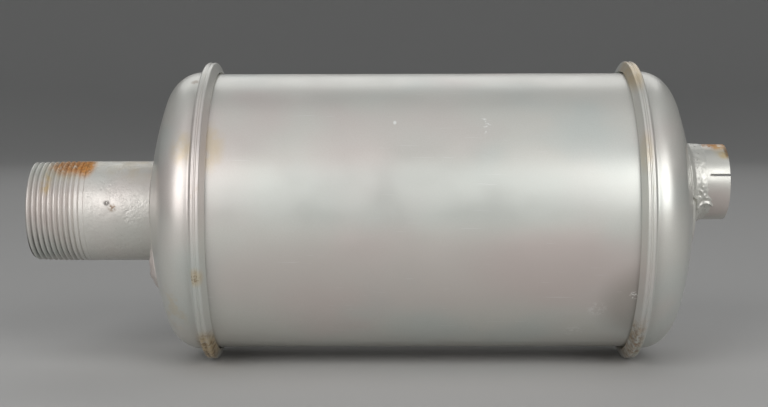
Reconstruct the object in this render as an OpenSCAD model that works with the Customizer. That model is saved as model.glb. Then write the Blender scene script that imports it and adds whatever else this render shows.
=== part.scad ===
// Welded sheet-steel muffler, three chambers with reversed flow.
// The inlet is a male taper pipe thread, the outlet a slotted slip joint set above the axis.
// Origin: centre of the inlet's open end. +X runs along the muffler's axis to the outlet, +Z is up.

/* [Shell] */
// Outside diameter of the shell
shell_d = 115.6; // [112:0.2:124]
// Length of the shell between the outer faces of its end flanges
shell_len = 176; // [170:1:230]
// Thickness of the shell, head and baffle sheet
sheet = 1.2; // [1:0.1:1.4]
// Distance from the inlet's open end to the first seam
inlet_seam_x = 75.3; // [74:0.1:90]
// Width of the gap between the shell's rolled edges, which the seam weld fills
shell_gap = 1.2; // [0.8:0.1:2]

/* [Rolled seams] */
// Outside diameter of the seam rings
ring_d = 125.6; // [125:0.1:127]
// Outer radius of the rolled rim
rim_r = 1.9; // [1.8:0.1:2.2]
// Tilt of the rim's free leg from the radial direction
leg_tilt = 30; // [20:1:35]
// Length of the rim's free leg
leg_len = 3.6; // [2:0.1:3.6]
// Radius of the groove between ring and dome
groove_r = 1.5; // [1:0.1:2]
// Inside radius of the bend at the shell's flange
flange_bend_r = 1.2; // [0.8:0.1:1.4]

/* [Heads] */
// Diameter of the domes beside the seam rings
dome_d = 117.2; // [116.6:0.2:118]
// Height of the dome above the seam
dome_rise = 24.8; // [24:0.1:30]
// Radius of the dome's shoulder
shoulder_r = 13.5; // [10:0.5:16]
// Distance from the seam to the start of the shoulder
shoulder_x = 3.2; // [3:0.1:5]
// Radius of the raised boss in the middle of the outlet head
boss_r = 17; // [12:0.5:20]
// Height of the boss
boss_rise = 1.8; // [0.5:0.1:2]

/* [Inlet] */
// Outside diameter of the nipple, 1-1/4 inch pipe
pipe_d = 42.16; // [42.16:0.01:42.2]
// Bore of the nipple
pipe_bore = 35.05; // [32:0.05:36]
// Length of the nipple
nipple_len = 64; // [62:0.5:70]
// Threads per inch
threads_per_inch = 11.5; // [11.5]
// Crest radius of the thread at the open end
thread_start_r = 20.66; // [20.6:0.01:20.7]
// Depth of the thread
thread_depth = 1.6; // [1.2:0.1:1.7]
// Length of full thread
full_thread_len = 17.95; // [15:0.05:18]
// Length to the end of the last shallow thread
total_thread_len = 25.6; // [24:0.1:27]
// Outer radius of the reinforcing collar
collar_r = 34; // [28:1:40]
// Thickness of the reinforcing collar
collar_t = 1.5; // [1:0.1:1.6]

/* [Outlet] */
// Outside diameter of the stub
stub_d = 31.75; // [28:0.05:34]
// Wall of the stub
stub_wall = 1.5; // [1.2:0.1:2]
// Length of the stub
stub_len = 29; // [28:0.5:30]
// Distance from the outlet seam to the stub's open end
stub_reach = 40; // [39:0.5:42]
// Height of the stub's axis above the muffler's axis
stub_rise = 11.8; // [8:0.1:16]
// Number of saw slots
slot_count = 4; // [2:1:6]
// Width of a slot
slot_w = 0.8; // [0.6:0.1:2]
// Length of a slot
slot_len = 8.3; // [5:0.1:9]
// Angle of the first slot above the -Y side
slot_angle = 13.4; // [0:0.1:45]

/* [Baffles and tubes] */
// Distance from the inlet seam to the first baffle
first_baffle = 42.7; // [40:0.1:45]
// Spacing of the baffles
baffle_pitch = 47; // [46:0.5:60]
// Depth of a baffle's rim
baffle_rim = 10; // [6:1:14]
// Radius of the bend at a baffle's rim
baffle_bend_r = 3; // [2:0.5:4]
// Wall of the inner tubes
tube_wall = 1.2; // [1:0.1:1.5]
// Radial clearance of the perforated tubes on the nipple and the stub
tube_clearance = 0.1; // [0.05:0.01:0.15]
// Outside radius of the transfer tubes
transfer_r = 11; // [8:0.5:12]
// Sideways distance of the transfer tubes from the axis
transfer_out = 34; // [33:0.5:36]
// Drop of the transfer tubes below the axis
transfer_drop = 14; // [12:0.5:18]
// Diameter of a perforation
perforation_d = 6; // [3:0.5:7]

/* [Hidden] */
$fn = 96;
hole_fn = 20;
bend_step = 9;
fit_gap = 0.1;

paint = "silver";
bare_steel = "slategray";
weld_metal = "dimgray";

shell_r = shell_d / 2;
inside_r = shell_r - sheet;
outlet_seam_x = inlet_seam_x + shell_len;
rim_centre_r = ring_d / 2 - rim_r;
leg_angle = 180 - leg_tilt;

dome_r = dome_d / 2;
shoulder_centre_r = dome_r - shoulder_r;
shoulder_rise = dome_rise - shoulder_x;
crown_r = (pow(shoulder_centre_r, 2) + pow(shoulder_rise, 2) - pow(shoulder_r, 2))
    / (2 * (shoulder_rise - shoulder_r));
crown_centre_x = dome_rise - crown_r;
crown_angle = atan2(shoulder_centre_r, shoulder_x - crown_centre_x);
boss_angle = asin(boss_r / crown_r);
boss_top_angle = asin((boss_r - boss_rise) / crown_r);

pipe_r = pipe_d / 2;
thread_pitch = 25.4 / threads_per_inch;
thread_taper = 1 / 32;
thread_chamfer = 0.35;
first_crest_x = thread_chamfer + 0.15;
groove_count = floor((total_thread_len - first_crest_x) / thread_pitch);

stub_r = stub_d / 2;
stub_end_x = outlet_seam_x + stub_reach;
stub_start_x = stub_end_x - stub_len;

inlet_tube_r = pipe_r + tube_clearance;
outlet_tube_r = stub_r + tube_clearance;
tube_lap = 8.5;
inlet_tube_start_x = nipple_len - tube_lap;
outlet_tube_end_x = stub_start_x + tube_lap;
inlet_baffle_x = inlet_seam_x + first_baffle;
middle_baffle_x = inlet_baffle_x + baffle_pitch;
outlet_baffle_x = middle_baffle_x + baffle_pitch;
plug_gap = 6;
inlet_tube_end_x = middle_baffle_x - sheet - plug_gap;
outlet_tube_start_x = middle_baffle_x + plug_gap;
transfer_start_x = inlet_baffle_x - baffle_rim;
transfer_end_x = middle_baffle_x + baffle_rim;
plug_depth = 10;
plug_bend_r = 2.5;
vent_r = 8;
vent_circle_r = 38;
resonator_hole_r = 6;
resonator_circle_r = 40;
vent_angles = [-40, 0, 40];
resonator_angles = [110 : 35 : 250];
perforation_pitch = 9;
perforation_margin = 7;
inlet_holes_per_row = 10;
outlet_holes_per_row = 8;
tack_leg = 2;
tack_sweep = 40;
tack_count = 3;

// A bend is [centre x, centre r, outer radius, first angle, last angle, side].
// Side is 1 where the sheet lies within the bend's outer radius and -1 where it lies beyond it.
function reversed(list) = [for (i = [len(list) - 1 : -1 : 0]) list[i]];
function bend_points(bend, depth) =
    let (
        r = bend[2] - bend[5] * depth,
        turn = bend[4] - bend[3],
        steps = ceil(abs(turn) / bend_step)
    )
    [for (i = [0 : steps])
        let (angle = bend[3] + turn * i / max(steps, 1))
        [bend[0] + r * cos(angle), bend[1] + r * sin(angle)]];
function path_points(bends, depth) = [for (bend = bends) each bend_points(bend, depth)];
function sheet_outline(bends, thickness) =
    concat(path_points(bends, 0), reversed(path_points(bends, thickness)));

// Distance from the seam to a head's outer side at radius r.
function crown_x(r) = crown_centre_x + sqrt(pow(crown_r, 2) - pow(r, 2));

// Outer side of a head from its middle to the start of the straight skirt, measured from the seam.
function dome_bends(boss) = concat(
    boss ? [[crown_centre_x, 0, crown_r + boss_rise, 0, boss_top_angle, 1]] : [],
    [[crown_centre_x, 0, crown_r, boss ? boss_angle : 0, crown_angle, 1],
     [shoulder_x, shoulder_centre_r, shoulder_r, crown_angle, 90, 1]]);

// The groove, the ring and its free leg.
function rim_bends() =
    let (
        rim_x = sheet - rim_r,
        leg_end = [rim_x + rim_r * cos(leg_angle) - leg_len * sin(leg_tilt),
            rim_centre_r + rim_r * sin(leg_angle) - leg_len * cos(leg_tilt)]
    )
    [[sheet + groove_r, dome_r + groove_r, groove_r, 270, 180, -1],
     [rim_x, rim_centre_r, rim_r, 0, leg_angle, 1],
     [leg_end[0], leg_end[1], 0, leg_angle, leg_angle, 1]];

// The shell's out-turned end, measured from the seam.
function flange_bends() =
    [[-sheet - flange_bend_r, shell_r + flange_bend_r, flange_bend_r, 270, 360, -1],
     [-sheet, rim_centre_r - fit_gap, 0, 180, 180, 1]];

function shell_outline() =
    let (outer = path_points(flange_bends(), 0), inner = path_points(flange_bends(), sheet))
    concat(
        [for (p = outer) [outlet_seam_x + p[0], p[1]]],
        [for (p = reversed(inner)) [outlet_seam_x + p[0], p[1]]],
        [for (p = inner) [inlet_seam_x - p[0], p[1]]],
        [for (p = reversed(outer)) [inlet_seam_x - p[0], p[1]]]);

// A flanged disc with its flat face at x = 0 and its rim towards -X.
function cup_bends(radius, bend_r, depth) =
    [[0, 0, 0, 0, 0, 1],
     [-bend_r, radius - bend_r, bend_r, 0, 90, 1],
     [-depth, radius, 0, 90, 90, 1]];

// Taper thread: each crest is a short cylinder, and each groove has 60 degree flanks.
function crest_r(i) = min(pipe_r, thread_start_r + (first_crest_x + i * thread_pitch) * thread_taper);
function groove_x(i) = first_crest_x + (i + 0.5) * thread_pitch;
function runout(x) = max(0, (x - full_thread_len) / (total_thread_len - full_thread_len));
function root_r(i) =
    let (x = groove_x(i), crest = thread_start_r + x * thread_taper, left = 1 - runout(x))
    min(crest, pipe_r) - left * (thread_depth - max(0, crest - pipe_r));
function flank(crest, root) = (crest - root) * tan(30);
function thread_points() = [for (i = [0 : groove_count - 1]) each
    let (x = groove_x(i), root = root_r(i))
    [[x - flank(crest_r(i), root), crest_r(i)],
     [x, root],
     [x + flank(crest_r(i + 1), root), crest_r(i + 1)]]];

// Turns an outline of [x, r] points about the X axis.
module revolve_x(points) {
    rotate([0, 90, 0]) rotate_extrude() polygon([for (p = points) [p[1], p[0]]]);
}

module rod_x(from_x, to_x, r) {
    translate([from_x, 0, 0]) rotate([0, 90, 0]) cylinder(h = to_x - from_x, r = r);
}

module tube_x(from_x, to_x, outer_r, wall) {
    difference() {
        rod_x(from_x, to_x, outer_r);
        rod_x(from_x - 1, to_x + 1, outer_r - wall);
    }
}

module at_inlet_seam() {
    translate([inlet_seam_x, 0, 0]) mirror([1, 0, 0]) children();
}

module at_outlet_seam() {
    translate([outlet_seam_x, 0, 0]) children();
}

module on_stub_axis() {
    translate([0, 0, stub_rise]) children();
}

// Places a child at each transfer tube: side is -1 for the left one and 1 for the right one.
module at_transfer(side) {
    translate([0, side * transfer_out, -transfer_drop]) children();
}

module head(boss) {
    revolve_x(sheet_outline(concat(dome_bends(boss), rim_bends()), sheet));
}

// The space under a head's skin, from the given depth below its outer side.
module dome_solid(boss, depth) {
    points = path_points(dome_bends(boss), depth);
    revolve_x(concat(points, [[0, points[len(points) - 1][1]], [0, 0]]));
}

module shell() {
    color(paint) difference() {
        revolve_x(shell_outline());
        translate([inlet_seam_x, 0, -shell_gap / 2]) cube([shell_len, ring_d, shell_gap]);
    }
}

// Fills the gap in the shell and stands a little proud of it.
module shell_seam_weld() {
    $fn = 360;
    bead_w = 3.6;
    bead_h = 0.6;
    bead_r = (pow(bead_h, 2) + pow(bead_w / 2, 2)) / (2 * bead_h);
    end_margin = 7;
    color(paint)
        translate([inlet_seam_x + end_margin, 0, 0]) rotate([90, 0, 90])
        linear_extrude(height = shell_len - 2 * end_margin) difference() {
            union() {
                translate([shell_r + bead_h - bead_r, 0]) circle(r = bead_r);
                translate([0, -shell_gap / 2]) square([shell_r, shell_gap]);
            }
            difference() {
                circle(r = shell_r);
                translate([0, -shell_gap / 2]) square([shell_r + 1, shell_gap]);
            }
            circle(r = inside_r);
        }
}

module inlet_head() {
    color(paint) difference() {
        at_inlet_seam() head(false);
        rod_x(0, inlet_seam_x, pipe_r + fit_gap);
    }
}

module outlet_head() {
    color(paint) difference() {
        at_outlet_seam() head(true);
        on_stub_axis() rod_x(outlet_seam_x, stub_end_x, stub_r + fit_gap);
    }
}

// Dished ring against the inside of the inlet head.
module inlet_collar() {
    color(bare_steel) difference() {
        intersection() {
            at_inlet_seam() dome_solid(false, sheet);
            rod_x(0, inlet_seam_x, collar_r);
        }
        at_inlet_seam() dome_solid(false, sheet + collar_t);
        rod_x(0, inlet_seam_x, pipe_r + fit_gap);
    }
}

module inlet_nipple() {
    bore_r = pipe_bore / 2;
    outline = concat(
        [[0, bore_r], [0, crest_r(0) - thread_chamfer], [thread_chamfer, crest_r(0)]],
        thread_points(),
        [[nipple_len, pipe_r], [nipple_len, bore_r]]);
    color(paint) revolve_x(outline);
}

// Fillet with a slightly hollow face, which reaches a little way under the head's skin.
module inlet_weld() {
    root_x = inlet_seam_x - crown_x(pipe_r);
    leg = 2.4;
    outline = [[root_x - leg, pipe_r], [root_x - 0.6 * leg, pipe_r + 0.3 * leg],
        [root_x - 0.25 * leg, pipe_r + 0.7 * leg], [root_x, pipe_r + 1.2 * leg],
        [root_x + leg, pipe_r + 1.2 * leg], [root_x + leg, pipe_r]];
    color(paint) difference() {
        revolve_x(outline);
        at_inlet_seam() dome_solid(false, 0);
    }
}

module slots() {
    for (i = [0 : slot_count - 1])
        rotate([180 - slot_angle + i * 360 / slot_count, 0, 0])
            translate([stub_end_x - slot_len, 0, -slot_w / 2])
            cube([slot_len + 1, stub_r + 1, slot_w]);
}

module outlet_stub() {
    color(paint) on_stub_axis() difference() {
        tube_x(stub_start_x, stub_end_x, stub_r, stub_wall);
        slots();
    }
}

// Long low bead, thickest at the head, which ends where the slots begin.
module outlet_weld() {
    toe_x = stub_end_x - slot_len;
    root_x = outlet_seam_x + crown_x(stub_rise + stub_r) - 1;
    height = 2.2;
    outline = [[root_x, stub_r], [root_x, stub_r + height], [toe_x - 8, stub_r + height],
        [toe_x - 5.5, stub_r + 0.5 * height], [toe_x - 4, stub_r + 0.3 * height],
        [toe_x - 1, stub_r + 0.2 * height], [toe_x, stub_r]];
    color(paint) difference() {
        on_stub_axis() revolve_x(outline);
        at_outlet_seam() dome_solid(true, 0);
    }
}

module baffle_blank(x) {
    translate([x, 0, 0]) revolve_x(sheet_outline(cup_bends(inside_r, baffle_bend_r, baffle_rim), sheet));
}

// Through hole in the baffle at x.
module baffle_hole(x, r) {
    rod_x(x - sheet - 1, x + 1, r);
}

module transfer_holes(x) {
    for (side = [-1, 1])
        at_transfer(side) baffle_hole(x, transfer_r + fit_gap);
}

module inlet_baffle() {
    color(bare_steel) difference() {
        baffle_blank(inlet_baffle_x);
        baffle_hole(inlet_baffle_x, inlet_tube_r + tube_wall + fit_gap);
        transfer_holes(inlet_baffle_x);
        for (angle = vent_angles)
            rotate([angle, 0, 0]) translate([0, 0, vent_circle_r]) baffle_hole(inlet_baffle_x, vent_r);
    }
}

module middle_baffle() {
    color(bare_steel) difference() {
        baffle_blank(middle_baffle_x);
        transfer_holes(middle_baffle_x);
    }
}

module outlet_baffle() {
    color(bare_steel) difference() {
        baffle_blank(outlet_baffle_x);
        on_stub_axis() baffle_hole(outlet_baffle_x, outlet_tube_r + tube_wall + fit_gap);
        for (angle = resonator_angles)
            rotate([angle, 0, 0]) translate([0, 0, resonator_circle_r])
                baffle_hole(outlet_baffle_x, resonator_hole_r);
    }
}

// Rows of holes across a tube on the X axis; every other row is turned by half a step.
module perforations(from_x, to_x, per_row, reach) {
    for (row = [0 : floor((to_x - from_x) / perforation_pitch)], i = [0 : per_row - 1])
        translate([from_x + row * perforation_pitch, 0, 0])
            rotate([(i + (row % 2) / 2) * 360 / per_row, 0, 0])
            cylinder(h = reach, d = perforation_d, $fn = hole_fn);
}

module inlet_perforated_tube() {
    outer_r = inlet_tube_r + tube_wall;
    color(bare_steel) difference() {
        tube_x(inlet_tube_start_x, inlet_tube_end_x, outer_r, tube_wall);
        perforations(inlet_baffle_x + perforation_margin,
            inlet_tube_end_x - plug_depth - perforation_d / 2, inlet_holes_per_row, outer_r + 1);
    }
}

module inlet_tube_plug() {
    color(bare_steel) translate([inlet_tube_end_x, 0, 0])
        revolve_x(sheet_outline(cup_bends(inlet_tube_r, plug_bend_r, plug_depth), tube_wall));
}

module inlet_tube_weld() {
    leg = 1.1;
    color(weld_metal) revolve_x([[inlet_tube_start_x, pipe_r], [inlet_tube_start_x - leg, pipe_r],
        [inlet_tube_start_x, pipe_r + leg + tube_clearance]]);
}

module outlet_perforated_tube() {
    outer_r = outlet_tube_r + tube_wall;
    color(bare_steel) on_stub_axis() difference() {
        tube_x(outlet_tube_start_x, outlet_tube_end_x, outer_r, tube_wall);
        perforations(outlet_tube_start_x + plug_depth + perforation_margin,
            outlet_baffle_x - perforation_margin, outlet_holes_per_row, outer_r + 1);
        perforations(outlet_baffle_x + perforation_margin,
            stub_start_x - perforation_margin, outlet_holes_per_row, outer_r + 1);
    }
}

module outlet_tube_plug() {
    color(bare_steel) on_stub_axis() translate([outlet_tube_start_x, 0, 0]) mirror([1, 0, 0])
        revolve_x(sheet_outline(cup_bends(outlet_tube_r, plug_bend_r, plug_depth), tube_wall));
}

module outlet_tube_weld() {
    leg = 1.1;
    color(weld_metal) on_stub_axis() revolve_x([[outlet_tube_end_x, stub_r],
        [outlet_tube_end_x + leg, stub_r], [outlet_tube_end_x, stub_r + leg + tube_clearance]]);
}

module transfer_tube(side) {
    color(bare_steel) at_transfer(side) tube_x(transfer_start_x, transfer_end_x, transfer_r, tube_wall);
}

module left_transfer_tube() {
    transfer_tube(-1);
}

module right_transfer_tube() {
    transfer_tube(1);
}

// Short fillets around a tube of radius r on the face of the baffle at x.
module tacks(x, r) {
    translate([x, 0, 0]) rotate([0, 90, 0])
        for (i = [0 : tack_count - 1])
            rotate([0, 0, i * 360 / tack_count]) rotate_extrude(angle = tack_sweep)
                polygon([[r, 0], [r + tack_leg, 0], [r, tack_leg]]);
}

module tube_tack_welds() {
    color(weld_metal) {
        for (side = [-1, 1], x = [inlet_baffle_x, middle_baffle_x])
            at_transfer(side) tacks(x, transfer_r);
        tacks(inlet_baffle_x, inlet_tube_r + tube_wall);
        on_stub_axis() tacks(outlet_baffle_x, outlet_tube_r + tube_wall);
    }
}

shell();
shell_seam_weld();
inlet_head();
outlet_head();
inlet_collar();
inlet_nipple();
inlet_weld();
outlet_stub();
outlet_weld();
inlet_baffle();
middle_baffle();
outlet_baffle();
inlet_perforated_tube();
inlet_tube_plug();
inlet_tube_weld();
outlet_perforated_tube();
outlet_tube_plug();
outlet_tube_weld();
left_transfer_tube();
right_transfer_tube();
tube_tack_welds();
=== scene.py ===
import math

import bmesh
import bpy
from mathutils import Matrix, Vector, noise


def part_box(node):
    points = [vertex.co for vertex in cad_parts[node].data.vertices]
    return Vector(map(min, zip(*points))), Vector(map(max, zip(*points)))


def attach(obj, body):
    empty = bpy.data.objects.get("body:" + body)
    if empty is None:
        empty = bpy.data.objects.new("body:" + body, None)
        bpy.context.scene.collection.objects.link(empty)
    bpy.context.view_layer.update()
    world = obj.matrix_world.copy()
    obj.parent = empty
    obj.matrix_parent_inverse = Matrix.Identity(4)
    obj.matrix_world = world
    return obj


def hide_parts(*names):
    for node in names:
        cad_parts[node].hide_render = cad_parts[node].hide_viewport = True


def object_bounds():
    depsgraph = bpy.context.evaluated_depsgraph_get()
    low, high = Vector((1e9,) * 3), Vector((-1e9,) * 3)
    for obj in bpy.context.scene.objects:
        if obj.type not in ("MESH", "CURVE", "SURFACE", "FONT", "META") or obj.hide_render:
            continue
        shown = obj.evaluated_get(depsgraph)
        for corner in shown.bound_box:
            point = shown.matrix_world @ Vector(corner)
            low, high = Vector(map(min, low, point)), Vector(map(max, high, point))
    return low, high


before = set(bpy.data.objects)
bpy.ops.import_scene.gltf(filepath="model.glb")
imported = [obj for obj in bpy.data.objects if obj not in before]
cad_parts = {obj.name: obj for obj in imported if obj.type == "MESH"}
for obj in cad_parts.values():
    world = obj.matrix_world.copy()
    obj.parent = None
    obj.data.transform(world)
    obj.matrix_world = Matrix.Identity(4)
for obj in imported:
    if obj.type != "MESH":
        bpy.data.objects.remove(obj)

cad_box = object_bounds()
MM = 0.001


# ---------------------------------------------------------------- sizes, in mm and degrees

def span(node):
    """Lowest and highest corner of a CAD node in mm."""
    low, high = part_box(node)
    return low / MM, high / MM


SHEET = 1.2
shell_low, shell_high = span("shell")
INLET_SEAM = shell_low.x
OUTLET_SEAM = shell_high.x
SHELL_R = 57.8
RING_R = span("outlet_head")[1].z

RIM_R = 1.9
RIDGE_R = RIM_R / 2
RIM_CENTRE_R = RING_R - RIM_R
LEG_TILT = 30
LEG_LEN = 3.6
GROOVE_R = 1.5
FLANGE_BEND_R = 1.2

DOME_R = 58.6
DOME_RISE = 24.8
SHOULDER_R = 13.5
SHOULDER_X = 3.2
SHOULDER_CENTRE_R = DOME_R - SHOULDER_R
SHOULDER_RISE = DOME_RISE - SHOULDER_X
CROWN_R = (SHOULDER_CENTRE_R**2 + SHOULDER_RISE**2 - SHOULDER_R**2) / (2 * (SHOULDER_RISE - SHOULDER_R))
CROWN_CENTRE_X = DOME_RISE - CROWN_R
CROWN_ANGLE = math.degrees(math.atan2(SHOULDER_CENTRE_R, SHOULDER_X - CROWN_CENTRE_X))
CROWN_EDGE_R = CROWN_R * math.sin(math.radians(CROWN_ANGLE))
BOSS_R = 17
BOSS_RISE = 1.8
BOSS_EDGE = 0.9

nipple_low, nipple_high = span("inlet_nipple")
PIPE_R = nipple_high.z
PIPE_END = nipple_low.x
PIPE_INNER_END = nipple_high.x
PIPE_BORE_R = 17.525
PITCH = 25.4 / 11.5
THREAD_START_R = 20.66
THREAD_TAPER = 1 / 32
THREAD_DEPTH = 1.6
FULL_THREAD = 17.95
TOTAL_THREAD = 25.6
FIRST_CREST = 0.5
FLANK_ANGLE = 30
END_CHAMFER = 0.35
BORE_CHAMFER = 0.4
PAINT_FILL = 0.15
PIPE_WEAR = 0.05

stub_low, stub_high = span("outlet_stub")
STUB_R = (stub_high.z - stub_low.z) / 2
STUB_RISE = (stub_high.z + stub_low.z) / 2
STUB_START = stub_low.x
STUB_END = stub_high.x
STUB_BORE_R = 14.375
SLOT_COUNT = 4
SLOT_W = 0.8
SLOT_LEN = 8.3
SLOT_ANGLE = 90 - 13.4
FIT_GAP = 0.1

SEAM_ANGLE = 270
SEAM_GAP = 1.2
LUMP_ANGLE = 140
CRESCENT_X = 281.4
CRESCENT_ANGLE = 131
seam_weld_low, seam_weld_high = span("shell_seam_weld")


# ---------------------------------------------------------------- outlines

def arc(centre_x, centre_r, radius, first, last, step=4.0):
    """Points (x, r) along an arc, with angles from +x towards +r."""
    count = max(1, math.ceil(abs(last - first) / step))
    angles = [math.radians(first + (last - first) * i / count) for i in range(count + 1)]
    return [(centre_x + radius * math.cos(a), centre_r + radius * math.sin(a)) for a in angles]


def line(start, end, step):
    """Points from start to end, both included, no more than step apart."""
    count = max(1, math.ceil(math.dist(start, end) / step))
    return [(start[0] + (end[0] - start[0]) * i / count,
             start[1] + (end[1] - start[1]) * i / count) for i in range(count + 1)]


def smooth(t):
    """Rises from 0 to 1 as t does, with level ends."""
    t = min(1.0, max(0.0, t))
    return t * t * (3 - 2 * t)


def wave(x, r, angle, size):
    """Smooth noise from about -1 to 1 on the surface, with features of about the given size in mm."""
    a = math.radians(angle)
    return noise.noise(Vector((x / size, r * math.sin(a) / size, r * math.cos(a) / size)))


def leg_end(depth):
    """End of the rim's free leg, measured outward from the seam, on the skin at the given depth."""
    angle = math.radians(180 - LEG_TILT)
    tilt = math.radians(LEG_TILT)
    radius = RIM_R - depth
    return (SHEET - RIM_R + radius * math.cos(angle) - LEG_LEN * math.sin(tilt),
            RIM_CENTRE_R + radius * math.sin(angle) - LEG_LEN * math.cos(tilt))


def rim_outside():
    """From the dome's skirt over the groove and the seam's two ridges to the leg's end."""
    valley = 35
    last = 180 - LEG_TILT + 5
    ridge_centre_r = RING_R - RIDGE_R
    dome_side = SHEET - RIDGE_R
    shell_side = dome_side - 2 * RIDGE_R
    ridges = arc(dome_side, ridge_centre_r, RIDGE_R, 0, 180 - valley, 12)
    ridges += arc(shell_side, ridge_centre_r, RIDGE_R, valley, last, 12)
    groove = arc(SHEET + GROOVE_R, DOME_R + GROOVE_R, GROOVE_R, 270, 180, 9)
    leg = line(ridges[-1], leg_end(0), 0.6)[1:]
    return groove + ridges + leg


def rim_inside():
    """The same run on the skin's inner side, from the leg's end back to the skirt."""
    outer_r = GROOVE_R + SHEET
    rim_x = SHEET - RIM_R
    bend = arc(rim_x, RIM_CENTRE_R, RIM_R - SHEET, 180 - LEG_TILT, 0, 15)
    groove = arc(SHEET + GROOVE_R, DOME_R + GROOVE_R, outer_r, 180, 270, 9)
    return line(leg_end(SHEET), bend[0], 1.2)[:-1] + bend + groove


def crown_x(d, boss):
    """Distance from the seam to a head's outer side, at distance d from the muffler's axis."""
    x = CROWN_CENTRE_X + math.sqrt(CROWN_R**2 - d**2)
    return x + boss * BOSS_RISE * (1 - smooth((d - BOSS_R + BOSS_EDGE) / BOSS_EDGE))


# ---------------------------------------------------------------- meshes

def add_piece(name, verts, faces, material, slot, replaced=(), crease=40, bevel=0.0):
    """Makes a smooth-shaded piece of the object from vertices in metres.
    Edges sharper than the crease angle stay sharp, and are rounded if there is a bevel in mm."""
    mesh = bpy.data.meshes.new(name)
    mesh.from_pydata(verts, [], faces)
    bm = bmesh.new()
    bm.from_mesh(mesh)
    bmesh.ops.remove_doubles(bm, verts=bm.verts, dist=1e-6)
    bmesh.ops.dissolve_degenerate(bm, edges=bm.edges, dist=1e-7)
    bmesh.ops.recalc_face_normals(bm, faces=bm.faces)
    for face in bm.faces:
        face.smooth = True
    for edge in bm.edges:
        edge.smooth = len(edge.link_faces) == 2 and edge.calc_face_angle() < math.radians(crease)
    bm.to_mesh(mesh)
    bm.free()
    piece = bpy.data.objects.new(name, mesh)
    bpy.context.scene.collection.objects.link(piece)
    if bevel:
        modifier = piece.modifiers.new("edges", "BEVEL")
        modifier.width = bevel * MM
        modifier.segments = 2
        modifier.limit_method = "ANGLE"
        modifier.angle_limit = math.radians(crease)
    mesh.materials.append(material)
    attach(piece, "root")
    if replaced:
        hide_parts(*replaced)
    return piece


def around(x, r, angle, centre_z=0.0):
    """Point in metres at angle round an axis parallel to X."""
    a = math.radians(angle)
    return (x * MM, -r * math.sin(a) * MM, (centre_z + r * math.cos(a)) * MM)


def turned(rows, columns, centre_z=0.0, first=0.0, sweep=360.0):
    """Vertices and faces of a closed surface through rings round an axis parallel to X.
    A row is (x, r), or a function of the angle that gives x, r and, where it isn't centre_z,
    the height of the ring's centre."""
    whole = sweep >= 360
    count = columns if whole else columns + 1
    verts = []
    for row in rows:
        for j in range(count):
            angle = first + sweep * j / columns
            x, r, *centre = row(angle) if callable(row) else row
            verts.append(around(x, r, angle, centre[0] if centre else centre_z))
    faces = []
    for i in range(len(rows)):
        k = (i + 1) % len(rows)
        for j in range(columns):
            m = (j + 1) % count
            faces.append((i * count + j, k * count + j, k * count + m, i * count + m))
    if not whole:
        faces.append([i * count for i in range(len(rows))])
        faces.append([i * count + columns for i in reversed(range(len(rows)))])
    return verts, faces


# ---------------------------------------------------------------- node materials

def add(tree, kind, inputs=None, **settings):
    """Adds a shader node, and links or sets its inputs."""
    node = tree.nodes.new(kind)
    for key, value in settings.items():
        setattr(node, key, value)
    for key, value in (inputs or {}).items():
        if isinstance(value, bpy.types.NodeSocket):
            tree.links.new(value, node.inputs[key])
        else:
            node.inputs[key].default_value = value
    return node


SPOT_CORE = 0.35
COAT_ROUGHNESS = 0.2


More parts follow.
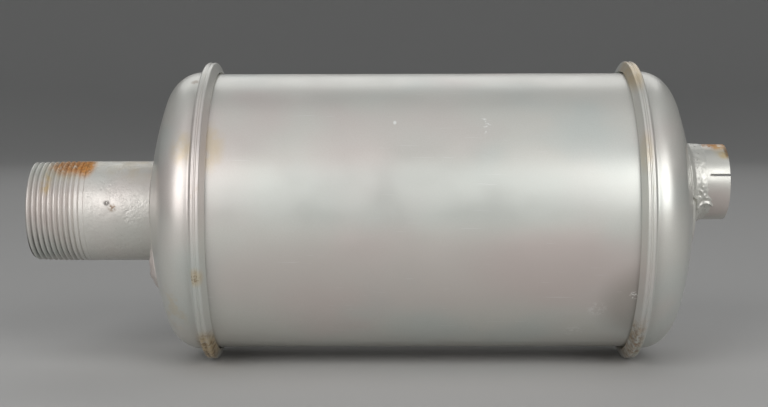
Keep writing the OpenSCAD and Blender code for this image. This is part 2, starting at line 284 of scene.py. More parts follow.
class Paint:
    """A node tree on object coordinates with the few patterns that the muffler's surfaces share."""

    def __init__(self, name):
        self.material = bpy.data.materials.new(name)
        self.material.use_nodes = True
        self.tree = self.material.node_tree
        self.tree.nodes.clear()
        self.place = self.node("ShaderNodeTexCoord").outputs["Object"]

    def node(self, kind, inputs=None, **settings):
        return add(self.tree, kind, inputs, **settings)

    def math(self, operation, a, b=0.0, clamp=False):
        return self.node("ShaderNodeMath", {0: a, 1: b}, operation=operation, use_clamp=clamp).outputs[0]

    def vector(self, operation, a, b=(0, 0, 0)):
        return self.node("ShaderNodeVectorMath", {0: a, 1: b}, operation=operation)

    def along(self, axis):
        """Object coordinate along X, Y or Z, in metres."""
        return self.node("ShaderNodeSeparateXYZ", {0: self.place}).outputs[axis]

    def stretched(self, x, y, z):
        """Object coordinates scaled along the axes, for patterns that run in one direction."""
        return self.vector("MULTIPLY", self.place, (x, y, z)).outputs[0]

    def noise(self, size, detail=3.0, roughness=0.5, place=None, shift=0.0):
        """Noise from 0 to 1 with features of about the given size in mm."""
        where = place or self.place
        if shift:
            where = self.vector("ADD", where, (shift, shift, shift)).outputs[0]
        values = {"Vector": where, "Scale": 1 / (size * MM), "Detail": detail, "Roughness": roughness}
        return self.node("ShaderNodeTexNoise", values).outputs["Fac"]

    def between(self, value, low, high, out_low=0.0, out_high=1.0):
        """Maps low to high smoothly on to out_low to out_high."""
        values = {"Value": value, "From Min": low, "From Max": high, "To Min": out_low, "To Max": out_high}
        return self.node("ShaderNodeMapRange", values, interpolation_type="SMOOTHSTEP").outputs["Result"]

    def mix(self, factor, a, b):
        """Colour a where factor is 0, b where it is 1."""
        values = {"Factor": factor, 6: a, 7: b}
        return self.node("ShaderNodeMix", values, data_type="RGBA").outputs[2]

    def spot(self, x, angle, r, reach, centre_z=0.0):
        """1 at a point given in mm and degrees, falling to 0 at reach.
        The reach is one size, or a size along each axis."""
        centre = around(x, r, angle, centre_z)
        sizes = reach if isinstance(reach, tuple) else (reach, reach, reach)
        scale = tuple(1 / (s * MM) for s in sizes)
        apart = self.vector("SUBTRACT", self.place, centre).outputs[0]
        scaled = self.vector("MULTIPLY", apart, scale).outputs[0]
        length = self.vector("LENGTH", scaled).outputs["Value"]
        return self.between(length, 1.0, SPOT_CORE)

    def patchy(self, mask, size, low=0.45, high=0.6, shift=0.0):
        """Breaks a mask up with noise."""
        return self.math("MULTIPLY", mask, self.between(self.noise(size, 4, 0.6, shift=shift), low, high))

    def radius(self, centre_z=0.0):
        """Distance from an axis parallel to X, in metres."""
        apart = self.vector("SUBTRACT", self.place, (0, 0, centre_z * MM)).outputs[0]
        flat = self.vector("MULTIPLY", apart, (0, 1, 1)).outputs[0]
        return self.vector("LENGTH", flat).outputs["Value"]

    def finish(self, colour, roughness, metallic, bump, height, coat=0.0):
        """Ends in a Principled shader. Height is the bump's depth in mm."""
        normal = self.node("ShaderNodeBump", {"Height": bump, "Distance": height * MM, "Strength": 1.0})
        shader = self.node("ShaderNodeBsdfPrincipled", {
            "Base Color": colour, "Roughness": roughness, "Metallic": metallic,
            "Normal": normal.outputs[0], "Coat Weight": coat, "Coat Roughness": COAT_ROUGHNESS})
        output = self.node("ShaderNodeOutputMaterial")
        self.tree.links.new(shader.outputs[0], output.inputs["Surface"])
        return self.material


SILVER = (0.60, 0.594, 0.548, 1)
SILVER_WARM = (0.60, 0.53, 0.50, 1)
SILVER_GREEN = (0.54, 0.575, 0.545, 1)
TAN = (0.42, 0.31, 0.19, 1)
OCHRE = (0.56, 0.43, 0.24, 1)
BROWN = (0.20, 0.115, 0.05, 1)
GOLD = (0.60, 0.47, 0.26, 1)
RUST = (0.47, 0.19, 0.03, 1)
# Dark brown for grime and painted shade, low on the shell by the outlet ring.
GRIME_AND_PAINTED_SHADE = (0.22, 0.175, 0.14, 1)
DARK = (0.035, 0.028, 0.022, 1)
PALE_FLECK = (0.8, 0.8, 0.8, 1)
PALE_SCRATCH = (0.8, 0.8, 0.79, 1)
PALE_SCUFF = (0.85, 0.84, 0.82, 1)
PALE_NICKS = (0.88, 0.88, 0.86, 1)
PALE_NICK = (0.9, 0.9, 0.88, 1)
PALE_SPATTER = (0.9, 0.89, 0.86, 1)
SOOT = (0.06, 0.055, 0.05, 1)
STEEL_DARK = (0.26, 0.25, 0.24, 1)
STEEL_LIGHT = (0.44, 0.43, 0.41, 1)
WELD_DARK = (0.10, 0.09, 0.085, 1)
WELD_LIGHT = (0.34, 0.31, 0.28, 1)
WELD_BLUE = (0.12, 0.13, 0.2, 1)

TINT_STRENGTH = 0.75
PAINT_METALLIC = 0.5
PIPE_METALLIC = 0.4
STEEL_METALLIC = 0.9
BODY_COAT = 0.3
BODY_BUMP = 0.01


def silver(paint):
    """Aluminium paint: silver with broad, faint pinkish and greenish areas and a fine mottle."""
    warm = paint.between(paint.noise(55, 2), 0.45, 0.7)
    green = paint.between(paint.noise(40, 2, shift=0.7), 0.5, 0.75)
    colour = paint.mix(paint.math("MULTIPLY", warm, TINT_STRENGTH), SILVER, SILVER_WARM)
    colour = paint.mix(paint.math("MULTIPLY", green, TINT_STRENGTH), colour, SILVER_GREEN)
    fleck = paint.between(paint.noise(0.5, 2, 0.7), 0.3, 0.7, 0.0, 0.12)
    return paint.mix(fleck, colour, PALE_FLECK)


def marked(paint, colour, marks):
    """Lays marks (mask, colour, strength) over a colour: stains and wear, and on the shell and the nipple
    also painted highlight, reflection and shade.
    """
    for mask, tint, strength in marks:
        colour = paint.mix(paint.math("MULTIPLY", mask, strength), colour, tint)
    return colour


def shell_paint():
    """Paint on the shell: a painted highlight band and a painted reflection band along it, painted shade and
    grime by the outlet ring, and a few scuffs, nicks and scratches.
    """
    paint = Paint("shell_paint")
    scuffs = paint.patchy(paint.spot(224, 143, SHELL_R, 5), 1.5)
    scuffs = paint.math("MAXIMUM", scuffs, paint.patchy(paint.spot(232, 128, SHELL_R, 5), 1.5, shift=0.2))
    nicks = paint.patchy(paint.spot(188, 50, SHELL_R, (3, 6, 6)), 1.3, 0.56, 0.62)
    scratch = paint.between(paint.noise(1.1, 2, 0.6, paint.stretched(0.05, 1, 1)), 0.69, 0.74)
    marks = [
        # Painted reflection along the whole shell: a greenish tint where the highlight falls, and a warm band
        # below it.
        (paint.spot(165, 80, SHELL_R, (150, 30, 18)), SILVER_GREEN, 0.5),
        (paint.spot(165, 112, SHELL_R, (150, 30, 24)), SILVER_WARM, 0.55),
        (paint.spot(216, 108, SHELL_R, (45, 30, 20)), SILVER_WARM, 0.9),
        # Painted shade and grime: a soft dark-brown patch low on the shell by the outlet ring.
        (paint.spot(248, 126, SHELL_R, (20, 26, 22)), GRIME_AND_PAINTED_SHADE, 0.4),
        (paint.patchy(paint.spot(246.2, 121, SHELL_R, 2.6), 0.9, 0.5, 0.58), PALE_SPATTER, 0.9),
        (paint.patchy(paint.spot(81, 60, SHELL_R, (7, 14, 14)), 9, 0.35, 0.6), GOLD, 0.45),
        (scuffs, PALE_SCUFF, 0.35),
        (paint.spot(152.7, 49, SHELL_R, (0.9, 1.3, 1.3)), PALE_NICK, 0.8),
        (nicks, PALE_NICKS, 0.8),
        (scratch, PALE_SCRATCH, 0.25),
    ]
    rough = paint.between(paint.noise(18, 4), 0.3, 0.7, 0.34, 0.42)
    peel = paint.math("ADD", paint.noise(1.2, 3, 0.6), paint.math("MULTIPLY", paint.noise(9, 2), 2.0))
    colour = marked(paint, silver(paint), marks)
    return paint.finish(colour, rough, PAINT_METALLIC, peel, BODY_BUMP, BODY_COAT)


def head_paint():
    """Paint on the heads, worn on the rings' crests and stained at their feet."""
    paint = Paint("head_paint")
    crest = paint.between(paint.radius(), (RING_R - 1.6) * MM, (RING_R - 0.3) * MM)
    worn = paint.patchy(crest, 7, 0.56, 0.72)
    marks = [
        (worn, TAN, 0.25),
        (paint.patchy(paint.spot(249, 20, RING_R, (6, 30, 14)), 14, 0.25, 0.5), OCHRE, 0.75),
        (paint.patchy(paint.spot(249, 64, RING_R, (4, 9, 12)), 5, 0.3, 0.5), OCHRE, 0.35),
        (paint.patchy(paint.spot(248, 150, RING_R, (6, 34, 22)), 3, 0.35, 0.6), TAN, 0.75),
        (paint.patchy(paint.spot(248, 150, RING_R, (6, 34, 22)), 1.6, 0.47, 0.62, 0.3), BROWN, 0.7),
        (paint.patchy(paint.spot(76.5, 150, RING_R, (6, 32, 13)), 4, 0.25, 0.5), OCHRE, 0.95),
        (paint.patchy(paint.spot(76.5, 150, RING_R, (6, 32, 13)), 2.4, 0.47, 0.62, 0.3), BROWN, 0.8),
        (paint.spot(75.5, 110, RING_R, (5, 6, 5)), GOLD, 0.5),
        (paint.patchy(paint.spot(75.5, 110, RING_R, 3.6), 1.2, 0.5, 0.62), BROWN, 0.6),
        (paint.patchy(paint.spot(70, 61, 57, (6, 10, 10)), 8, 0.3, 0.55), GOLD, 0.5),
        (paint.patchy(paint.spot(65, 130, 57, (7, 16, 16)), 6), GOLD, 0.3),
        (paint.patchy(paint.spot(71.5, 22, 58, (2.4, 3.4, 2)), 1.5, 0.3, 0.5), BROWN, 0.55),
    ]
    rough = paint.between(paint.noise(14, 4), 0.3, 0.7, 0.34, 0.42)
    peel = paint.math("ADD", paint.noise(1.2, 3, 0.6), paint.math("MULTIPLY", paint.noise(7, 2), 2.0))
    colour = marked(paint, silver(paint), marks)
    return paint.finish(colour, rough, PAINT_METALLIC, peel, BODY_BUMP, BODY_COAT)


def pipe_paint():
    """Paint on the nipple: painted shade in the grooves, deeper on the lower side, rust on top of the thread,
    wrinkles on the plain pipe.
    """
    paint = Paint("pipe_paint")
    on_thread = paint.between(paint.along("X"), (TOTAL_THREAD + 1) * MM, (TOTAL_THREAD - 2) * MM)
    groove_r = PIPE_R - 0.8
    deep = paint.between(paint.radius(), groove_r * MM, (groove_r - 1) * MM)
    in_groove = paint.math("MULTIPLY", on_thread, deep)
    low = paint.between(paint.along("Z"), -0.2 * PIPE_R * MM, -0.9 * PIPE_R * MM)
    rusty = paint.patchy(paint.spot(17, 20, PIPE_R, (12, 15, 6)), 2.6, 0.25, 0.55, 0.35)
    rusty_end = paint.patchy(paint.spot(23.5, 24, PIPE_R, (5, 14, 7)), 2.5, 0.25, 0.5, 0.6)
    pits = paint.between(paint.noise(1.6, 1, 0.4, shift=0.4), 0.79, 0.82)
    marks = [
        # Painted shade: the thread's grooves darkened, more on the lower side.
        (paint.math("MULTIPLY", in_groove, paint.math("ADD", 0.55, low, True)), DARK, 0.65),
        (paint.spot(17, 20, PIPE_R, (15, 18, 9)), GOLD, 0.35),
        (rusty, RUST, 0.85),
        (rusty_end, RUST, 0.9),
        (paint.patchy(paint.math("MAXIMUM", rusty, rusty_end), 1.3, 0.45, 0.62, 0.9), BROWN, 0.6),
        (paint.patchy(paint.spot(8, 50, PIPE_R, (3, 8, 8)), 3, 0.3, 0.6), GOLD, 0.7),
        (paint.patchy(paint.spot(45, 20, PIPE_R, (22, 16, 12)), 7, 0.3, 0.65), GOLD, 0.3),
        (paint.patchy(paint.spot(34, 77, PIPE_R, (1.8, 1.6, 1.6)), 0.9, 0.38, 0.5), DARK, 0.85),
        (paint.patchy(paint.spot(36.3, 82, PIPE_R, (2.2, 2.0, 2.2)), 1.1, 0.42, 0.56, 0.2), BROWN, 0.8),
        (pits, DARK, 0.4),
    ]
    matt = paint.math("MAXIMUM", rusty, rusty_end)
    rough = paint.math("MAXIMUM", paint.between(paint.noise(6, 4), 0.3, 0.7, 0.33, 0.5), matt)
    metallic = paint.math("MULTIPLY", paint.math("SUBTRACT", 1.0, matt), PIPE_METALLIC)
    wrinkled = paint.patchy(paint.math("SUBTRACT", 1.0, on_thread), 9, 0.35, 0.6)
    folds = paint.math("ABSOLUTE", paint.math("SUBTRACT", paint.noise(2.4, 4, 0.6), 0.5))
    peel = paint.math("ADD", paint.noise(1.0, 4, 0.65), paint.math("MULTIPLY", paint.noise(3.0, 3, 0.6), 2.0))
    peel = paint.math("SUBTRACT", peel, paint.math("MULTIPLY", paint.math("MULTIPLY", folds, wrinkled), 14.0))
    return paint.finish(marked(paint, silver(paint), marks), rough, metallic, peel, 0.04)


def stub_paint():
    """Paint on the stub, rusty on top of its open end."""
    paint = Paint("stub_paint")
    rusty = paint.patchy(paint.spot(287, 12, STUB_R, (8, 8, 4), STUB_RISE), 2.5, 0.3, 0.55)
    marks = [
        (rusty, RUST, 0.9),
        (paint.spot(289, 30, STUB_R, (5, 9, 6), STUB_RISE), GOLD, 0.35),
        (paint.patchy(paint.spot(289.5, 42, STUB_R, 3, STUB_RISE), 2, 0.3, 0.55), GOLD, 0.8),
        (paint.patchy(paint.spot(291, 33, STUB_R, (1.6, 7, 6), STUB_RISE), 2, 0.25, 0.5), BROWN, 0.85),
        (paint.spot(286, 125, STUB_R, (14, 10, 12), STUB_RISE), SILVER_WARM, 0.8),
    ]
    rough = paint.math("MAXIMUM", paint.between(paint.noise(8, 4), 0.3, 0.7, 0.3, 0.4), rusty)
    metallic = paint.math("MULTIPLY", paint.math("SUBTRACT", 1.0, rusty), PAINT_METALLIC)
    peel = paint.noise(1.2, 3, 0.6)
    return paint.finish(marked(paint, silver(paint), marks), rough, metallic, peel, 0.015)


def weld_paint():
    """Paint over weld, with dark pits."""
    paint = Paint("weld_paint")
    pits = paint.between(paint.noise(1.6, 3, 0.6), 0.62, 0.7)
    marks = [
        (pits, DARK, 0.45),
        (paint.patchy(paint.spot(54, LUMP_ANGLE, PIPE_R + 9, (8, 12, 12)), 3, 0.25, 0.5), SILVER_WARM, 0.9),
    ]
    rough = paint.between(paint.noise(3, 4), 0.3, 0.7, 0.36, 0.5)
    peel = paint.noise(0.9, 3, 0.6)
    return paint.finish(marked(paint, silver(paint), marks), rough, PAINT_METALLIC, peel, 0.04)


def bare_steel():
    """Unpainted sheet inside the muffler: grey, brushed along the axis, with soot and a little rust."""
    paint = Paint("bare_steel")
    grain = paint.noise(0.8, 3, 0.6, paint.stretched(0.1, 1, 1))
    colour = paint.mix(grain, STEEL_DARK, STEEL_LIGHT)
    marks = [
        (paint.between(paint.noise(22, 4, 0.6), 0.5, 0.72), SOOT, 0.7),
        (paint.between(paint.noise(9, 5, 0.7, shift=0.3), 0.6, 0.72), RUST, 0.55),
    ]
    rough = paint.between(paint.noise(10, 3), 0.3, 0.7, 0.35, 0.55)
    return paint.finish(marked(paint, colour, marks), rough, STEEL_METALLIC, grain, 0.02)


def weld_steel():
    """Bare weld inside the muffler, mottled with blue heat tint."""
    paint = Paint("weld_steel")
    mottle = paint.noise(1.5, 4, 0.6)
    colour = paint.mix(mottle, WELD_DARK, WELD_LIGHT)
    blue = paint.between(paint.noise(4, 2, shift=0.5), 0.5, 0.7)
    colour = marked(paint, colour, [(blue, WELD_BLUE, 0.5)])
    rough = paint.between(paint.noise(2, 3), 0.3, 0.7, 0.3, 0.55)
    return paint.finish(colour, rough, STEEL_METALLIC, mottle, 0.08)


# ---------------------------------------------------------------- pieces

def build_shell(material):
    """Rolled sheet with out-turned ends and an open seam, very slightly out of true."""
    dent_depth = 0.07
    dent_size = 42
    row_step = 3.0

    def dented(x, r):
        return lambda angle: (x, r - dent_depth * (1 + wave(x, r, angle, dent_size)))

    def end_outline(depth):
        bend = arc(-SHEET - FLANGE_BEND_R, SHELL_R + FLANGE_BEND_R, FLANGE_BEND_R + depth, 270, 360, 15)
        return bend + [(-SHEET + depth, RIM_CENTRE_R - FIT_GAP)]

    outside, inside = end_outline(0), end_outline(SHEET)
    inside_r = SHELL_R - SHEET
    first_x = INLET_SEAM + SHEET + FLANGE_BEND_R
    last_x = OUTLET_SEAM - SHEET - FLANGE_BEND_R
    length = line((first_x, SHELL_R), (last_x, SHELL_R), row_step)
    rows = [(INLET_SEAM - x, r) for x, r in reversed(outside)][:-1]
    rows += [dented(x, r) for x, r in length]
    rows += [(OUTLET_SEAM + x, r) for x, r in outside][1:]
    rows += [(OUTLET_SEAM + x, r) for x, r in reversed(inside)]
    rows += [dented(x, inside_r) for x, _ in reversed(length[1:-1])]
    rows += [(INLET_SEAM - x, r) for x, r in inside]
    half_gap = math.degrees(SEAM_GAP / 2 / SHELL_R)
    verts, faces = turned(rows, 240, first=SEAM_ANGLE + half_gap, sweep=360 - 2 * half_gap)
    return add_piece("shell_skin", verts, faces, material, "shell_paint", ["shell"])


def build_seam_weld(material):
    """Straight bead along the shell's back, with the crescent ripples of a hand weld."""
    half_w = 1.8
    height = 0.78
    ripple = 2.4
    ripple_low = 0.62
    bow = 1.1
    sunk = 0.25
    step = 0.4
    fade = 3
    length = seam_weld_high.x - seam_weld_low.x
    steps = round(length / step)
    across = 10

    def point(i, j):
        x = seam_weld_low.x + length * i / steps
        s = -1 + 2 * j / across
        end = smooth(min(i, steps - i) * step / fade)
        phase = ((x + bow * s * s) / ripple) % 1.0
        crest = ripple_low + (1 - ripple_low) * math.sin(math.pi * phase)
        lift = height * crest * (1 - s * s) * end
        drift = 0.25 * noise.noise(Vector((x / 9, 0, 7)))
        angle = SEAM_ANGLE + math.degrees((s * half_w + drift) / SHELL_R)
        return around(x, SHELL_R - sunk + lift, angle)

    def under(i, s):
        x = seam_weld_low.x + length * i / steps
        return around(x, SHELL_R - SHEET, SEAM_ANGLE + math.degrees(s * SEAM_GAP / 2 / SHELL_R))

    ring = across + 3
    verts = []
    for i in range(steps + 1):
        verts += [point(i, j) for j in range(across + 1)]
        verts += [under(i, 1), under(i, -1)]
    faces = []
    for i in range(steps):
        for j in range(ring):
            m = (j + 1) % ring
            faces.append((i * ring + j, (i + 1) * ring + j, (i + 1) * ring + m, i * ring + m))
    faces.append(list(range(ring)))
    faces.append([steps * ring + j for j in reversed(range(ring))])
    return add_piece("shell_seam_bead", verts, faces, material, "weld_paint", ["shell_seam_weld"], crease=70)


def head_rows(at_x, hole_r, hole_rise, boss):
    """Rings of a head: crown, shoulder, skirt and rolled rim outside, and the same inside.
    at_x turns a distance outward from the seam into x. boss is 1 for a raised middle, or 0."""
    steps = 96
    inner_skip = 8
    wander = 0.12
    wander_size = 16

    def crown(share, depth):
        r = hole_r + (CROWN_EDGE_R - hole_r) * share
        rise = hole_rise * (1 - share)

        def row(angle):
            a = math.radians(angle)
            d = math.hypot(r * math.sin(a), rise + r * math.cos(a))
            return (at_x(crown_x(d, boss) - depth), r, rise)
        return row

    def worked(x, r):
        """Lets the rim wander inwards a little, as rolled sheet does."""
        size = wander * smooth((r - DOME_R) / 2)
        return lambda angle: (at_x(x), r - size * (1 + wave(x, r, angle, wander_size)))

    shoulder = arc(SHOULDER_X, SHOULDER_CENTRE_R, SHOULDER_R, CROWN_ANGLE, 90, 3)[1:]
    inner_shoulder = arc(SHOULDER_X, SHOULDER_CENTRE_R, SHOULDER_R - SHEET, 90, CROWN_ANGLE, 6)
    rows = [crown(i / steps, 0) for i in range(steps + 1)]
    rows += [(at_x(x), r) for x, r in shoulder]
    rows += [worked(x, r) for x, r in rim_outside()]
    rows += [worked(x, r) for x, r in rim_inside()]
    rows += [(at_x(x), r) for x, r in inner_shoulder]
    rows += [crown(i / steps, SHEET) for i in reversed(range(0, steps, inner_skip))]
    return rows


def build_heads(material):
    inlet = head_rows(lambda u: INLET_SEAM - u, PIPE_R + FIT_GAP, 0.0, 0)
    add_piece("inlet_head_skin", *turned(inlet, 256), material, "head_paint", ["inlet_head"])
    outlet = head_rows(lambda u: OUTLET_SEAM + u, STUB_R + FIT_GAP, STUB_RISE, 1)
    add_piece("outlet_head_skin", *turned(outlet, 256), material, "head_paint", ["outlet_head"])


def thread_r(x, angle):
    """Radius of the threaded pipe: right-hand V grooves on a taper, which run out on the pipe."""
    crest = THREAD_START_R + x * THREAD_TAPER
    runout = max(0.0, (x - FULL_THREAD) / (TOTAL_THREAD - FULL_THREAD))
    depth = max(0.0, (1 - runout) * (THREAD_DEPTH - max(0.0, crest - PIPE_R)))
    top = min(crest, PIPE_R)
    phase = ((x - FIRST_CREST) / PITCH - angle / 360) % 1.0
    from_root = abs(phase - 0.5) * PITCH
    flank = from_root / math.tan(math.radians(FLANK_ANGLE))
    groove = max(0.0, depth - flank)
    r = top - groove * (1 - PAINT_FILL * groove / THREAD_DEPTH)
    worn = PIPE_WEAR * wave(x, PIPE_R, angle, 2.5) * smooth((r - top + 0.5) / 0.5)
    return min(r - abs(worn), top - END_CHAMFER + max(0.0, x))


def build_nipple(material):
    """Pipe nipple. The rows of its threaded stretch follow the helix, and stop at a ring at both ends."""
    per_pitch = 14
    columns = 180
    row_step = 0.7
    bore_step = 8
    turns = math.ceil((TOTAL_THREAD + 1) / PITCH)
    thread_end = (turns - 1) * PITCH
    verts = []
    for i in range(-per_pitch, turns * per_pitch + 1):
        for j in range(columns):
            x = PITCH * (i / per_pitch + j / columns)
            x = min(max(x, 0.0), thread_end)
            angle = 360 * j / columns
            verts.append(around(PIPE_END + x, thread_r(x, angle), angle))
    helix_rows = len(verts) // columns

    def rough(x):
        depth = PIPE_WEAR * smooth((x - thread_end) / 2)
        return lambda angle: (x, PIPE_R - depth * (1 + wave(x, PIPE_R, angle, 3.2)))

    plain_run = line((thread_end, 0), (PIPE_INNER_END - PIPE_END, 0), row_step)[1:]
    plain = [rough(PIPE_END + x) for x, _ in plain_run]
    plain += line((PIPE_INNER_END, PIPE_BORE_R), (PIPE_END + BORE_CHAMFER, PIPE_BORE_R), bore_step)
    plain += [(PIPE_END, PIPE_BORE_R + BORE_CHAMFER)]
    for row in plain:
        for j in range(columns):
            angle = 360 * j / columns
            x, r = row(angle) if callable(row) else row
            verts.append(around(x, r, angle))
    rows = len(verts) // columns
    faces = []
    for i in range(rows):
        k = (i + 1) % rows
        for j in range(columns):
            turn = per_pitch if j == columns - 1 else 0
            after_i = min(i + turn, helix_rows - 1) if i < helix_rows else i
            after_k = min(k + turn, helix_rows - 1) if k < helix_rows else k
            if i == rows - 1:
                after_k = k
            m = (j + 1) % columns
            faces.append((i * columns + j, k * columns + j, after_k * columns + m, after_i * columns + m))
    return add_piece("inlet_pipe_nipple", verts, faces, material, "pipe_paint", ["inlet_nipple"], crease=50)


def build_inlet_weld(material):
    """Small fillet where the nipple enters the head, with a lump low in front where the bead ended."""
    leg = 1.2
    sunk = 0.3
    lump_spread = 15
    lump_reach = 15
    root_x = INLET_SEAM - DOME_RISE + 3
    steps = 24

    def bead(share):
        def row(angle):
            lump = smooth(1.3 - abs(angle - LUMP_ANGLE) / lump_spread)
            reach = leg * (1.6 + 0.2 * wave(0, PIPE_R, angle, 4)) + lump_reach * lump
            climb = leg * (1 + 0.15 * wave(9, PIPE_R, angle, 3))
            r = PIPE_R - sunk + reach * share
            surface = INLET_SEAM - crown_x(r, 0)
            swell = math.sin(math.pi * share**1.5) * lump * (2.1 + wave(share * 9, r, angle, 1.8))
            fillet = climb * (1 - math.sqrt(1 - (1 - share) ** 2))
            x = surface - fillet - swell
            if share >= 1:
                x = surface + 0.4
            return (x, r)
        return row

    rows = [bead(i / steps) for i in range(steps + 1)]
    rows.append((root_x, PIPE_R + 0.6))
    rows.append((root_x, PIPE_R - sunk))
    return add_piece("inlet_weld_bead", *turned(rows, 240), material, "weld_paint", ["inlet_weld"], crease=75)


def build_stub(material):
    """Tube whose open end is cut by saw slots.
    It is laid out as cells, and the cells of the slots stay empty."""
    between_slots = 32
    cell_len = 2
    slot_start = STUB_END - SLOT_LEN
    half_slot = math.degrees(SLOT_W / 2 / STUB_R)
    angles = []
    for i in range(SLOT_COUNT):
        middle = SLOT_ANGLE + i * 360 / SLOT_COUNT
        angles += [middle - half_slot, middle + half_slot]
        width = 360 / SLOT_COUNT - 2 * half_slot
        angles += [middle + half_slot + width * k / between_slots for k in range(1, between_slots)]
    xs = [x for x, _ in line((STUB_START, 0), (slot_start, 0), cell_len)]
    xs += [x for x, _ in line((slot_start, 0), (STUB_END, 0), cell_len)][1:]
    count = len(angles)
    per_slot = count // SLOT_COUNT

    def solid(i, j):
        return 0 <= i < len(xs) - 1 and not (xs[i] >= slot_start - 1e-6 and j % per_slot == 0)

    verts = [around(x, r, angle, STUB_RISE) for r in (STUB_R, STUB_BORE_R) for x in xs for angle in angles]
    inner = len(xs) * count
    faces = []
    for i in range(len(xs) - 1):
        for j in range(count):
            if not solid(i, j):
                continue
            m = (j + 1) % count
            a = i * count + j
            b = (i + 1) * count + j
            c = (i + 1) * count + m
            d = i * count + m
            faces.append((a, b, c, d))
            faces.append((inner + a, inner + d, inner + c, inner + b))
            sides = [((i - 1, j), a, d), ((i + 1, j), b, c), ((i, (j - 1) % count), a, b), ((i, m), d, c)]
            for cell, p, q in sides:
                if not solid(*cell):
                    faces.append((p, q, inner + q, inner + p))
    return add_piece("outlet_stub_tube", verts, faces, material, "stub_paint", ["outlet_stub"], bevel=0.15)


def build_outlet_weld(material):
    """Thick bead at the head, then rough spatter as far as the slots. A raised crescent with a faint one
    inside it stands low in front, where the spatter reaches a little past the slots' roots."""
    toe = STUB_END - SLOT_LEN
    steps = 46
    sunk = 0.15
    bead_height = 1.9
    bead_middle = 1.2
    bead_half_w = 1.4
    tongue_first = 108
    tongue_last = 150
    tongue_len = 2.3
    coarse_first = 85
    coarse_last = 215
    calm_reach = 5.5
    crescents = ((3.3, 1.0), (2.0, 0.3))
    crescent_half_w = 0.42

    def row_at(share):
        def row(angle):
            a = math.radians(angle)
            d = math.hypot(STUB_R * math.sin(a), STUB_RISE + STUB_R * math.cos(a))
            root = OUTLET_SEAM + crown_x(d, 1) - 0.8
            tongue = smooth((angle - tongue_first) / 8) * smooth((tongue_last - angle) / 10)
            end = toe + 0.5 * wave(0, STUB_R, angle, 4) + tongue_len * tongue
            x = root + (end - root) * share
            s = x - root
            bead = bead_height * math.exp(-((s - bead_middle) / bead_half_w) ** 2)
            bead *= 1 + 0.15 * wave(x, STUB_R, angle, 3)
            coarse = smooth((angle - coarse_first) / 20) * smooth((coarse_last - angle) / 40)
            rough = 0.3 + 0.12 * wave(x, STUB_R, angle, 2.6)
            rough += (0.1 + 0.3 * coarse) * wave(x + 9, STUB_R, angle, 1.2)
            reach = math.hypot(x - CRESCENT_X, math.radians(angle - CRESCENT_ANGLE) * STUB_R)
            above = smooth((CRESCENT_ANGLE - 3 - angle) / 4)
            arcs = sum(size * math.exp(-((reach - r) / crescent_half_w) ** 2) for r, size in crescents)
            toe_fade = smooth((1 - share) / 0.35)
            arc_fade = smooth((1 - share) / 0.08)
            calm = 1 - 0.75 * smooth(calm_reach - reach)
            lift = bead + max(0.04, rough * calm) * smooth(s / 2)
            return (x, STUB_R - sunk + (lift + sunk) * toe_fade + arcs * above * arc_fade)
        return row

    rows = [row_at(i / steps) for i in range(steps + 1)]
    rows.append((toe, STUB_R - 0.4))
    rows.append((OUTLET_SEAM + crown_x(STUB_RISE + STUB_R, 0) - 1.2, STUB_R - 0.4))
    verts, faces = turned(rows, 300, centre_z=STUB_RISE)
    return add_piece("outlet_weld_bead", verts, faces, material, "weld_paint", ["outlet_weld"], crease=75)


def paint_inner_nodes(steel, weld):
    """The pieces inside keep their CAD shape."""
    for name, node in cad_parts.items():
        if node.hide_render:
            continue
        material = weld if name.endswith(("_weld", "_welds")) else steel
        node.data.materials.clear()
        node.data.materials.append(material)


# ---------------------------------------------------------------- stage

FLOOR_Z = -RING_R
FLOOR_COLOUR = (0.45, 0.445, 0.435, 1)
CENTRE = (cad_box[0] + cad_box[1]) / 2


def build_floor():
    """Plain pale floor round the muffler, which curves up into a backdrop on all sides."""
    flat_r = 2.0
    bend = 1.2
    top = 3.2
    columns = 96
    flat_rings = 5
    bend_angles = [math.radians(9 * i) for i in range(1, 11)]
    profile = [(flat_r * i / flat_rings, 0.0) for i in range(1, flat_rings + 1)]
    profile += [(flat_r + bend * math.sin(a), bend - bend * math.cos(a)) for a in bend_angles]
    profile.append((flat_r + bend, top))
    turns = [2 * math.pi * j / columns for j in range(columns)]
    level = FLOOR_Z * MM
    verts = [(CENTRE.x + r * math.cos(a), r * math.sin(a), z + level) for r, z in profile for a in turns]
    faces = [list(range(columns))]
    for i in range(len(profile) - 1):
        for j in range(columns):
            m = (j + 1) % columns
            faces.append((i * columns + j, (i + 1) * columns + j, (i + 1) * columns + m, i * columns + m))
    mesh = bpy.data.meshes.new("floor")
    mesh.from_pydata(verts, [], faces)
    for polygon in mesh.polygons:
        polygon.use_smooth = True
    floor = bpy.data.objects.new("floor", mesh)
    bpy.context.scene.collection.objects.link(floor)
    paper = bpy.data.materials.new("floor_paper")
    paper.use_nodes = True
    shader = paper.node_tree.nodes["Principled BSDF"]
    shader.inputs["Base Color"].default_value = FLOOR_COLOUR
    shader.inputs["Roughness"].default_value = 0.85
    mesh.materials.append(paper)


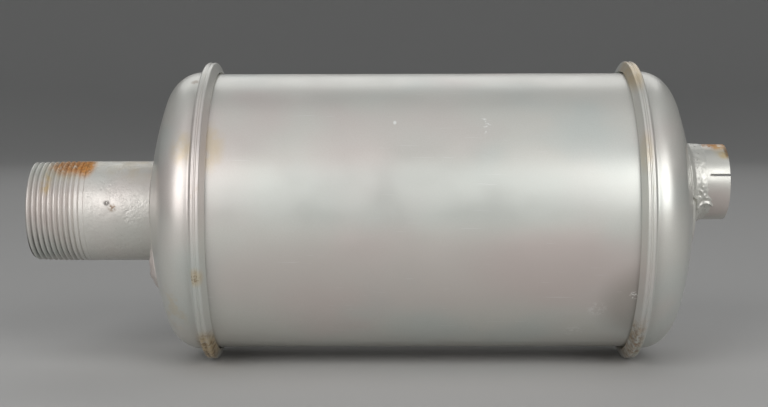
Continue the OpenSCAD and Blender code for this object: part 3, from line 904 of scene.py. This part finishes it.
def add_softbox(name, azimuth, elevation, distance, width, height, power):
    """Area light aimed at the muffler. Azimuth 0 is the camera's side and 90 the outlet's."""
    a, e = math.radians(azimuth), math.radians(elevation)
    towards = Vector((math.sin(a) * math.cos(e), -math.cos(a) * math.cos(e), math.sin(e)))
    light = bpy.data.lights.new(name, "AREA")
    light.shape = "RECTANGLE"
    light.size = width
    light.size_y = height
    light.energy = power
    softbox = bpy.data.objects.new(name, light)
    softbox.location = CENTRE + towards * distance
    softbox.rotation_euler = towards.to_track_quat("Z", "Y").to_euler()
    bpy.context.scene.collection.objects.link(softbox)


def build_lights():
    """Two large soft boxes in front, a weak one above, one behind and a dim, slightly blue surround."""
    add_softbox("left", -33, 23, 1.4, 0.85, 0.95, 10)
    add_softbox("right", 33, 23, 1.4, 0.85, 0.95, 10)
    add_softbox("top", 0, 75, 1.6, 1.8, 1.2, 2.5)
    add_softbox("back", 180, 40, 1.9, 2.0, 1.0, 7)
    world = bpy.data.worlds.new("studio")
    world.use_nodes = True
    background = world.node_tree.nodes["Background"]
    background.inputs["Color"].default_value = (0.9, 0.95, 1.0, 1)
    background.inputs["Strength"].default_value = 0.2
    bpy.context.scene.world = world


def build_camera():
    """At the photograph's viewing angle: level with the muffler's upper half and looking a little down."""
    distance = 0.58
    height = 0.046
    along = 0.1534
    yaw, pitch, roll = 0.537, -4.257, 0.16
    camera = bpy.data.cameras.new("camera")
    camera.lens = 64.05
    camera.sensor_width = 36
    camera.clip_start = 0.01
    camera.clip_end = 50
    view = bpy.data.objects.new("camera", camera)
    turn = Matrix.Rotation(math.radians(yaw), 4, "Z") @ Matrix.Rotation(math.radians(90 + pitch), 4, "X")
    turn = turn @ Matrix.Rotation(math.radians(-roll), 4, "Z")
    view.matrix_world = Matrix.Translation((along, -distance, height)) @ turn
    bpy.context.scene.collection.objects.link(view)
    bpy.context.scene.camera = view


build_camera()
weld = weld_paint()
build_shell(shell_paint())
build_seam_weld(weld)
build_heads(head_paint())
build_nipple(pipe_paint())
build_inlet_weld(weld)
build_stub(stub_paint())
build_outlet_weld(weld)
paint_inner_nodes(bare_steel(), weld_steel())
build_floor()
build_lights()
bpy.context.scene.view_settings.view_transform = "Standard"
